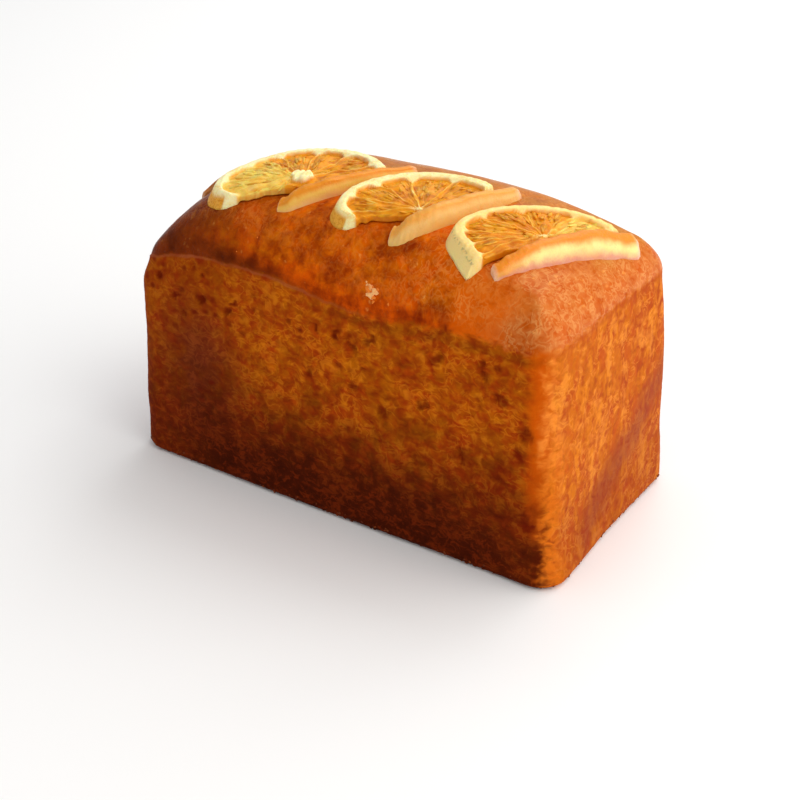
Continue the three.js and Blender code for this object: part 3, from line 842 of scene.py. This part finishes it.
peelForm = {
    "thickness": 3.5, "lean": 0.2, "taper": 0.25, "crown": 0.35, "sink": 0.4, "clearance": 0.35, "uneven": 0.28,
    "cells": (150, 12, 20),
    "strips": (
        {"start": (-28.8, -32.6), "middle": (-15.6, -32.3), "end": (0.8, 11.3),
         "tall": 5.2, "nearTall": 2.4, "farTall": 2.8, "edgeAtFront": 0.0,
         "face": (0.84, 0.50, 0.090), "edge": (0.78, 0.27, 0.008), "low": (0.86, 0.45, 0.15),
         "tip": (0.84, 0.40, 0.20)},
        {"start": (18.0, -33.8), "middle": (33.3, -35.9), "end": (40.7, 14.8),
         "tall": 6.4, "nearTall": 2.6, "farTall": 3.6, "edgeAtFront": 0.0,
         "face": (0.82, 0.49, 0.15), "edge": (0.80, 0.35, 0.05), "low": (0.86, 0.46, 0.12),
         "tip": (0.84, 0.42, 0.24)},
        {"start": (59.2, -33.5), "middle": (70.3, -15.4), "end": (81.5, 25.8),
         "tall": 6.8, "nearTall": 2.6, "farTall": 4.4, "edgeAtFront": 0.75,
         "face": (0.86, 0.72, 0.26), "edge": (0.78, 0.24, 0.006), "low": (0.72, 0.29, 0.18),
         "tip": (0.90, 0.52, 0.33)},
        {"start": (-72.5, -19.0), "middle": (-68.0, -11.0), "end": (-62.0, -2.0),
         "tall": 3.6, "nearTall": 2.8, "farTall": 2.0, "edgeAtFront": 0.0,
         "face": (0.50, 0.22, 0.07), "edge": (0.46, 0.14, 0.02), "low": (0.55, 0.27, 0.10),
         "tip": (0.60, 0.30, 0.14)},
    ),
}


def footPath(strip, s):
    # where the peel stands: points along its foot, and the direction behind it
    start, middle, end = [np.array(strip[k], float)[:, None] for k in ("start", "middle", "end")]
    place = (1 - s) ** 2 * start + 2 * s * (1 - s) * middle + s ** 2 * end
    along = (1 - s) * (middle - start) + s * (end - middle)
    along = along / np.linalg.norm(along, axis=0)
    return place, np.stack([-along[1], along[0]])


def peelPoints(strip, shares):
    f = peelForm
    s, b, c = shares.T
    place, behind = footPath(strip, s)
    tall = blendTo(blendTo(strip["nearTall"], strip["tall"], ease(s, 0, 0.4)), strip["farTall"], ease(s, 0.7, 1))
    rise = c * tall
    blunt = 1 - 0.3 * (1 - ease(s * (1 - s) * 4, 0, 0.09))
    depth = f["thickness"] * (0.5 + (b - 0.5) * (1 - f["taper"] * ease(c, 0.5, 1)) * blunt) + f["lean"] * rise
    length = np.linalg.norm(np.array(strip["end"]) - strip["start"])
    t, seed = s * length, int(strip["tall"] * 10)
    dents = wave(t, b * 3, c * 4, 9, seed) + 0.4 * wave(t, b * 3, c * 4, 3.2, seed + 1)
    x, y = place + behind * (depth + f["uneven"] * dents)
    crown = f["crown"] * (1 - (2 * b - 1) ** 2) * ease(c, 0.6, 1)
    ragged = 1.1 * wave(t, 0, b * 2, 11, seed + 2) + 0.5 * wave(t, 0, b * 2, 3.4, seed + 3)
    z = topHeight(x, y) + rise * blunt + crown + f["uneven"] * ragged * c - f["sink"] * (1 - c)
    return np.column_stack([x, y, z])


def behindPeel(strip, x, y):
    # how far points lie behind the back of a peel, or 99 past its ends
    f = peelForm
    s = np.linspace(0, 1, 121)
    place, behind = footPath(strip, s)
    away = (x[..., None] - place[0]) ** 2 + (y[..., None] - place[1]) ** 2
    nearest = away.argmin(-1)
    depth = (x - place[0][nearest]) * behind[0][nearest] + (y - place[1][nearest]) * behind[1][nearest]
    room = depth - f["thickness"] - f["lean"] * strip["tall"] - f["clearance"]
    return np.where((nearest == 120) & (depth > -2), 99, room)


def sliceOutline(spot, u, v):
    # from a slice's own flat measure, about its centre, to the cake's
    turn = math.radians(spot["turn"])
    across = v * spot["squash"]
    return (spot["x"] + u * math.cos(turn) - across * math.sin(turn),
            spot["y"] + u * math.sin(turn) + across * math.cos(turn))


def rimReach(spot, turned):
    # from the middle of the cut edge, which lies in front of the centre, to the rind
    radius, chord = orangeForm["radius"] * spot["size"], spot["chord"]
    return chord * np.sin(turned) + np.sqrt(radius ** 2 - (chord * np.cos(turned)) ** 2)


def firstAngle(spot, strip, share):
    # where the slice starts at each share of its reach, so that it ends at the back of the peel
    shares, angles = np.linspace(0, 1.12, 60), np.linspace(0, math.pi * 0.8, 240)
    grid, sweep = np.meshgrid(shares, angles, indexing="ij")
    reach = grid * rimReach(spot, sweep)
    x, y = sliceOutline(spot, reach * np.cos(sweep), reach * np.sin(sweep) - spot["chord"])
    blocked = behindPeel(strip, x, y) < 0
    first = np.array([angles[row.nonzero()[0].max()] if row.any() else 0.0 for row in blocked])
    return np.interp(share, shares, first)


def slicePoints(spot, strip, shares):
    f = orangeForm
    a, b, c = shares.T
    radius, seed = f["radius"] * spot["size"], spot["seed"]
    b = b + 0.05 * np.sin(2 * np.pi * b) / (2 * np.pi)
    share = blendTo(f["core"] / radius, 1, b)
    low = firstAngle(spot, strip, share)
    high = math.pi + math.radians(spot["extra"])
    turned = high + (low - high) * a
    reach = share * rimReach(spot, turned)
    u, v = reach * np.cos(turned), reach * np.sin(turned) - spot["chord"]
    r = np.maximum(np.hypot(u, v), 0.01)
    angle = np.mod(np.arctan2(v, u) + math.pi / 2, 2 * math.pi) - math.pi / 2
    degrees = np.degrees(angle)
    # thin walls between the segments, a little crooked
    toWall = np.full_like(r, 99.0)
    for number, wallAt in enumerate(spot["membranes"]):
        crooked = math.radians(wallAt) + 0.035 * np.sin(r * 0.3 + number * 2.1 + seed)
        wide = spot["wideFold"][1] if wallAt == spot["wideFold"][0] else 0.0
        toWall = np.minimum(toWall, np.abs(angle - crooked) * r - wide * ease(r, 3, 9))
    uneven = wave(np.cos(angle) * 12, np.sin(angle) * 12, 0, 9, seed)
    pithWidth = f["pithWidth"] + f["farPith"] * np.maximum(np.sin(angle), 0)
    fleshReach = radius - pithWidth * (1 + 0.13 * uneven) - 1.7 * np.exp(-((np.maximum(toWall, 0) / 1.7) ** 2))
    inner = spot["centre"] * (1 + 0.3 * wave(np.cos(angle), np.sin(angle), 0, 1.4, seed + 5))
    toEdge = np.minimum(fleshReach - r, r - inner)
    inFlesh = np.minimum(toWall - f["membraneWidth"], toEdge)
    flesh = ease(inFlesh, -0.35, 0.45)
    tinted = ease(inFlesh, -0.45, 0.15)
    bulge = f["pulpHeight"] + f["pulpBulge"] * ease(inFlesh, 0.4, 4.5)
    segment = np.digitize(degrees, spot["membranes"])
    ridges = wave(angle * 15, r * 0.22, segment * 3.7, 2.2, seed + 1)
    ridges = ridges + 0.5 * wave(angle * 30, r * 0.35, 0, 2.0, seed + 2)
    pulp = bulge + f["ridge"] * ridges + 0.3 * wave(u, v, 0, 6, seed + 3)
    pithTop = f["rindHeight"] - f["rindFall"] * ease(r, radius - 1.4, radius) ** 2
    pithTop = pithTop - 0.5 * ease(r, radius - pithWidth + 1.2, radius - pithWidth - 0.6)
    walls = f["membraneHeight"] + 0.45 * wave(r, angle * 4, 0, 7, seed + 4)
    solid = blendTo(walls, pithTop, ease(r, radius - pithWidth - 1.8, radius - pithWidth + 0.4))
    middle = f["membraneHeight"] + spot["centreRise"] * (1 + 0.5 * wave(u, v, 0, 2.6, seed + 8))
    solid = blendTo(solid, middle, ease(r, inner + 0.8, inner - 1.2))
    solid = solid + 0.14 * wave(u, v, 0, 3.2, seed + 6)
    thick = blendTo(solid, pulp, flesh)
    # the flesh dries up off the cake, the rind stays down and flares a little at its foot
    lifted = f["pulpLift"] * ease(r, fleshReach + 0.8, fleshReach - 1.5)
    under = blendTo(-f["sink"], lifted, ease(lifted, 0.0, 0.5))
    # the rind swells out beside its tip and curls in at the tip
    toTip = degrees - 180 - spot["extra"] - math.degrees(math.asin(spot["chord"] / radius))
    swell = spot["bulge"] * np.exp(-(((toTip + 28) / 22) ** 2))
    swell = swell - (0.2 * spot["bulge"] + spot["curl"]) * np.clip(toTip / 16 + 1, 0, 1) ** 2
    outward = swell * ease(share, 0.3, 0.85) + f["flare"] * (0.5 - c) * ease(r, radius * 0.8, radius)
    near = ease(a, 0.12, 0.0) * ease(r, inner, inner + 2) * ease(r, fleshReach + 0.3, fleshReach - 1)
    ragged = (f["recess"] + 0.9 * wave(r, 0 * r, 0, 4.0, seed + 7)) * near
    cornered = f["tipRound"] * ease(a, 0.09, 0.0) * ease(r, radius * 0.88, radius) ** 1.5
    u, v = u + outward * np.cos(angle), v + outward * np.sin(angle) + ragged + cornered
    x, y = sliceOutline(spot, u, v)
    lift = spot["farLift"] * np.maximum(u / radius, 0) ** 2
    thick = thick - 0.7 * near
    nearer = np.minimum(r, radius - 2.6) / r
    ground = blendTo(topHeight(x, y), topHeight(*sliceOutline(spot, u * nearer, v * nearer)), 0.55 * (1 - c))
    z = ground + blendTo(under, lift + thick, c)
    skin = 0.5 + 1.0 * ease(a, 0.03, 0.0)
    zest = ease(r, radius - skin - 0.3, radius - skin + 0.3)
    paleFrom, paleTo = spot["paleFrom"], spot["paleTo"]
    pale = ease(degrees, paleFrom - 2, paleFrom + 2) * ease(degrees, paleTo + 2, paleTo - 2)
    wall = ease(toWall, 1.2, 0.5) * ease(r, inner + 0.5, inner + 3)
    wall = wall * ease(r, radius - pithWidth - 0.5, radius - pithWidth - 4)
    marks = {"flesh": flesh, "tinted": tinted, "wall": wall, "pale": pale, "zest": zest, "reach": r,
             "sweep": angle, "height": c * thick}
    return np.column_stack([x, y, z]), marks


orangeLook = {
    "pithShade": (0.93, 0.64, 0.20), "zest": (0.84, 0.40, 0.05), "zestDark": (0.66, 0.24, 0.015),
    "juice": (0.88, 0.335, 0.010), "juiceDeepAndShade": (0.60, 0.165, 0.003), "juicePale": (0.86, 0.45, 0.07),
    "wall": (0.94, 0.55, 0.09), "faded": (0.98, 0.68, 0.13), "dots": (0.30, 0.30, 0.14),
    "sacs": 190, "sacLength": 6.0, "sacWidth": 1.2,
}


def juiceTones(b, place, tone, faded):
    # amber, orange and pale peach flesh in soft patches
    look = orangeLook
    patchy = b.noise(place, 4.2, 2, 0.5, 0.6) - 0.5
    broad = b.noise(place, 9.0, 1, 0.5, 0.4) - 0.5
    colour = b.mix(b.ramp(tone * 0.4 + patchy * 1.4 + broad * 0.8, -0.40, 0.22),
                   look["juiceDeepAndShade"], look["juice"])
    colour = b.mix(b.ramp(tone * 0.7 + patchy - broad * 0.9, 0.12, 0.62), colour, look["juicePale"])
    return b.mix(faded * b.ramp(tone * 0.5 - patchy * 1.2, -0.42, 0.20), colour, look["faded"])


def orangePaint(number, spot):
    made, b = material("driedOrange%d" % number)
    look = orangeLook
    place = b.objectPlace()
    flesh, tinted, wall, faded, zest, reach, sweep, height = [
        b.attribute(n) for n in ("flesh", "tinted", "wall", "pale", "zest", "reach", "sweep", "height")]
    fine = b.noise(place, 0.9, 3, 0.6, 0.4)
    patchy = b.noise(place, 5.0, 2, 0.5, 0.5)
    streaks = b.noise(b.join(sweep * 9, reach * 0.22, 0), 1.0, 2, 0.6, 0.6) - 0.5
    pith = b.mix(b.ramp(fine + (patchy - 0.5) * 0.8, 0.38, 0.85), spot["pith"], look["pithShade"])
    pith = b.mix(wall * (patchy * 2.0).clamped(), pith, look["wall"])
    juice = juiceTones(b, place, streaks * 1.2, faded)
    # painted shade: flesh darkens where it lies low, in the hollows inside the rind; deep darkens all of one
    # slice's flesh
    juice = b.mix((b.ramp(height, 2.7, 1.3) * 0.4 + spot["deep"]).clamped(), juice, look["juiceDeepAndShade"])
    peel = b.mix(b.ramp(fine, 0.4, 0.7), look["zest"], look["zestDark"])
    peel = b.mix(spot["paleRind"], peel, spot["pith"])
    colour = b.mix(tinted.atLeast(wall * b.ramp(patchy, 0.40, 0.62) * 0.8), pith, juice)
    side = zest * b.ramp(height + (patchy - 0.5) * 1.5, 4.6, 2.6)
    colour = b.mix(side, colour, peel)
    dotted = zest * b.ramp((height - 3.9).size(), 0.7, 0.2) * b.ramp(b.noise(place, 1.2, 1), 0.46, 0.56)
    colour = b.mix(dotted * (0.55 * spot["paleRind"]), colour, look["dots"])
    relief = fine * 0.14 + streaks * flesh * 0.12 - side * b.noise(place, 0.7, 1) * 0.2
    finishMaterial(b, {
        "Base Color": colour, "Normal": b.bump(relief), "Roughness": 0.6 - flesh * 0.2,
        "IOR": 1.4, "Specular IOR Level": 0.15, "Coat Weight": flesh * 0.07, "Coat Roughness": 0.2,
        "Subsurface Weight": 0.25, "Subsurface Radius": (1.0, 0.45, 0.1), "Subsurface Scale": 0.0025,
    })
    return made


def sacPaint():
    made, b = material("orangeSacs")
    tones = juiceTones(b, b.objectPlace(), (b.attribute("tone") - 0.5) * 0.9, b.attribute("pale"))
    finishMaterial(b, {
        "Base Color": tones, "Roughness": 0.4, "IOR": 1.4,
        "Specular IOR Level": 0.15, "Coat Weight": 0.1, "Coat Roughness": 0.2,
        "Subsurface Weight": 0.35, "Subsurface Radius": (1.0, 0.4, 0.08), "Subsurface Scale": 0.002,
    })
    return made


def sacTree():
    # juice sacs that radiate over the flesh of a slice
    tree, b, given = geometryTree("juiceSacs", {
        "Count": ("Int", 400), "Centre": ("Vector", None), "Turn": ("Float", 0.0), "Squash": ("Float", 1.0),
        "Inner": ("Float", 0.003), "Outer": ("Float", 0.022), "Sweep": ("Float", 3.1),
        "Length": ("Float", 0.004), "Width": ("Float", 0.0006), "Seed": ("Int", 1),
        "Material": ("Material", None)})

    def chance(low, high, shift):
        return b.chance(given["Seed"] + shift, low, high)

    def straightBelow(attribute, out):
        # what each spot meets on the slice
        return b.add("GeometryNodeRaycast", {"data_type": "FLOAT"}, {
            "Target Geometry": given["Geometry"], "Attribute": attribute, "Source Position": b.position(),
            "Ray Direction": (0, 0, -1), "Ray Length": 0.2}, out)

    # spots in polar order round the slice's own centre
    angle = chance(-0.5, given["Sweep"], 0)
    reach = (chance(0.0, 1.0, 1) ** 0.6) * (given["Outer"] - given["Inner"]) + given["Inner"]
    along = reach * b.math("COSINE", angle)
    across = reach * b.math("SINE", angle) * given["Squash"]
    cosTurn, sinTurn = b.math("COSINE", given["Turn"]), b.math("SINE", given["Turn"])
    outward = b.join(along * cosTurn - across * sinTurn, along * sinTurn + across * cosTurn, 0.0)
    spots = b.add("GeometryNodePoints", {}, {
        "Count": given["Count"], "Position": b.vector("ADD", given["Centre"], outward)}, 0)

    # dropped onto the slice, and kept only where they meet its flesh
    at, lean = straightBelow(None, ["Hit Position", "Hit Normal"])
    marked = b.store(spots, "lean", lean, "FLOAT_VECTOR")
    marked = b.store(marked, "pale", straightBelow(b.named("pale"), "Attribute"))
    outside = b.add("FunctionNodeCompare", {"operation": "LESS_THAN"},
                    {0: straightBelow(b.named("flesh"), "Attribute"), 1: 0.95}, 0)
    marked = b.store(marked, "off", outside, "BOOLEAN")
    settled = b.add("GeometryNodeSetPosition", {}, {"Geometry": marked, "Position": at}, 0)
    kept = b.add("GeometryNodeDeleteGeometry", {"domain": "POINT"},
                 {"Geometry": settled, "Selection": b.named("off", "BOOLEAN")}, 0)

    # each sac points outwards along the surface
    upright = b.named("lean", "FLOAT_VECTOR")
    radial = b.stretch(b.vector("SUBTRACT", b.position(), given["Centre"]), (1, 1, 0))
    flat = b.vector("CROSS_PRODUCT", upright, b.vector("CROSS_PRODUCT", radial, upright))
    turned = b.add("FunctionNodeAlignRotationToVector", {"axis": "X"}, {"Vector": flat}, 0)
    turned = b.add("FunctionNodeAlignRotationToVector", {"axis": "Z", "pivot_axis": "X"},
                   {"Rotation": turned, "Vector": upright}, 0)
    ball = b.add("GeometryNodeMeshUVSphere", {}, {"Segments": 6, "Rings": 5, "Radius": 0.5}, "Mesh")
    size = b.join(given["Length"] * chance(0.6, 1.3, 2), given["Width"] * chance(0.7, 1.4, 3),
                  given["Width"] * chance(0.22, 0.36, 4))
    scattered = b.add("GeometryNodeInstanceOnPoints", {}, {
        "Points": kept, "Instance": ball, "Rotation": turned, "Scale": size}, 0)
    endTree(b, b.store(scattered, "tone", chance(0.0, 1.0, 5), domain="INSTANCE"), given["Material"])
    return tree


def makeSlice(number, spot, strip, tree, sacMaterial):
    shares, faces = boxShell(*orangeForm["cells"])
    points, marks = slicePoints(spot, strip, shares)
    made = meshObject("orangeSlice%d" % number, points * mm, faces, [orangePaint(number, spot)])
    for name, values in marks.items():
        giveAttribute(made, name, values)
    radius = orangeForm["radius"] * spot["size"]
    sacs = grow(made, tree, {
        "Count": orangeLook["sacs"], "Centre": (spot["x"] * mm, spot["y"] * mm, 0.15),
        "Turn": math.radians(spot["turn"]), "Squash": spot["squash"],
        "Inner": (spot["centre"] + 1.5) * mm, "Outer": (radius - orangeForm["pithWidth"] - 1.2) * mm,
        "Sweep": math.pi * 1.4, "Length": orangeLook["sacLength"] * mm,
        "Width": orangeLook["sacWidth"] * mm, "Seed": spot["seed"] * 10, "Material": sacMaterial,
    }, "orangeSacs%d" % number)
    sacs.data.polygons.foreach_set("use_smooth", [True] * len(sacs.data.polygons))
    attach(made, "root")
    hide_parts("orange_slice_%d" % number)
    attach(sacs, "root")
    print("slice", number, len(made.data.polygons), "faces,", len(sacs.data.polygons), "on its sacs")


def peelPaint(number, strip):
    made, b = material("candiedPeel%d" % number)
    place = b.objectPlace()
    along, depth, rise = [b.attribute(n) for n in ("along", "depth", "rise")]
    fine = b.noise(place, 0.8, 3, 0.6, 0.3)
    patchy = b.noise(place, 4.5, 3, 0.55, 0.6)
    cloud = b.noise(place, 9.0, 2, 0.5, 0.8) - 0.5
    shade = (fine - 0.5) * 0.35 + (patchy - 0.5) * 0.7
    face = b.mix(b.ramp(along + shade * 0.2, 0.34, 0.12) * strip["edgeAtFront"], strip["face"], strip["edge"])
    colour = b.mix(b.ramp(rise + shade * 0.6, 0.60, 0.10), face, strip["low"])
    colour = b.mix(b.ramp(cloud + shade * 0.4, -0.05, 0.40) * 0.4, colour, strip["edge"])
    zest = b.ramp(rise + shade * 0.22 + cloud * 0.3, 0.62, 1.0).atLeast(b.ramp(depth + shade * 0.3, 0.66, 1.0))
    colour = b.mix(zest, colour, strip["edge"])
    tips = b.ramp((along - 0.5).size() + shade * 0.03, 0.462, 0.497)
    colour = b.mix(tips * 0.8, colour, strip["tip"])
    colour = b.mix(b.ramp(fine, 0.56, 0.74) * 0.3, colour, strip["low"])
    finishMaterial(b, {
        "Base Color": colour, "Normal": b.bump(fine * 0.16 + patchy * 0.3), "Roughness": 0.45,
        "IOR": 1.4, "Specular IOR Level": 0.3, "Coat Weight": 0.12, "Coat Roughness": 0.25,
        "Subsurface Weight": 0.3, "Subsurface Radius": (1.0, 0.45, 0.12), "Subsurface Scale": 0.003,
    })
    return made


def makePeel(number, strip):
    shares, faces = boxShell(*peelForm["cells"])
    made = meshObject("peelStrip%d" % number, peelPoints(strip, shares) * mm, faces,
                      [peelPaint(number, strip)])
    for name, values in zip(("along", "depth", "rise"), shares.T):
        giveAttribute(made, name, values)
    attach(made, "root")
    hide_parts("peel_strip_%d" % number)
    print("peel", number, len(made.data.polygons), "faces")


sacsTree, sacsMaterial = sacTree(), sacPaint()
for number, spot in enumerate(orangeForm["slices"], 1):
    makeSlice(number, spot, peelForm["strips"][number - 1], sacsTree, sacsMaterial)
for number, strip in enumerate(peelForm["strips"], 1):
    makePeel(number, strip)


studio = {
    "floorColour": (0.94, 0.94, 0.94), "floorSize": 6.0,
    "keyPower": 18.5, "keyPlace": (1.15, 0.22, 0.80), "keySize": 1.9, "keyColour": (1, 0.97, 0.92),
    "topPower": 7.0, "topPlace": (0.0, 0.9, 1.1), "topSize": 1.0, "topColour": (1, 1, 1),
    "aim": (0, 0, 0.05), "skyStrength": 0.60,
}


def makeLight(name):
    # a soft square lamp, turned towards the cake
    lamp = bpy.data.objects.new(name, bpy.data.lights.new(name, "AREA"))
    lamp.data.size = studio[name + "Size"]
    lamp.data.energy = studio[name + "Power"]
    lamp.data.color = studio[name + "Colour"]
    lamp.location = studio[name + "Place"]
    towardsLamp = Vector(studio[name + "Place"]) - Vector(studio["aim"])
    lamp.rotation_euler = towardsLamp.to_track_quat("Z", "Y").to_euler()
    scene.collection.objects.link(lamp)


def makeStudio():
    paint, b = material("paleFloor")
    finishMaterial(b, {"Base Color": (*studio["floorColour"], 1), "Roughness": 0.8})
    half = studio["floorSize"] / 2
    floor = meshObject("floor", [(-half, -half, 0), (half, -half, 0), (half, half, 0), (-half, half, 0)],
                       [(0, 1, 2, 3)], [paint], smooth=False)
    makeLight("key")
    makeLight("top")
    world = bpy.data.worlds.new("studio")
    world.use_nodes = True
    sky = world.node_tree.nodes["Background"]
    sky.inputs["Color"].default_value = (1, 1, 1, 1)
    sky.inputs["Strength"].default_value = studio["skyStrength"]
    scene.world = world
    scene.view_settings.view_transform = "Standard"


makeStudio()
print("studio ready")
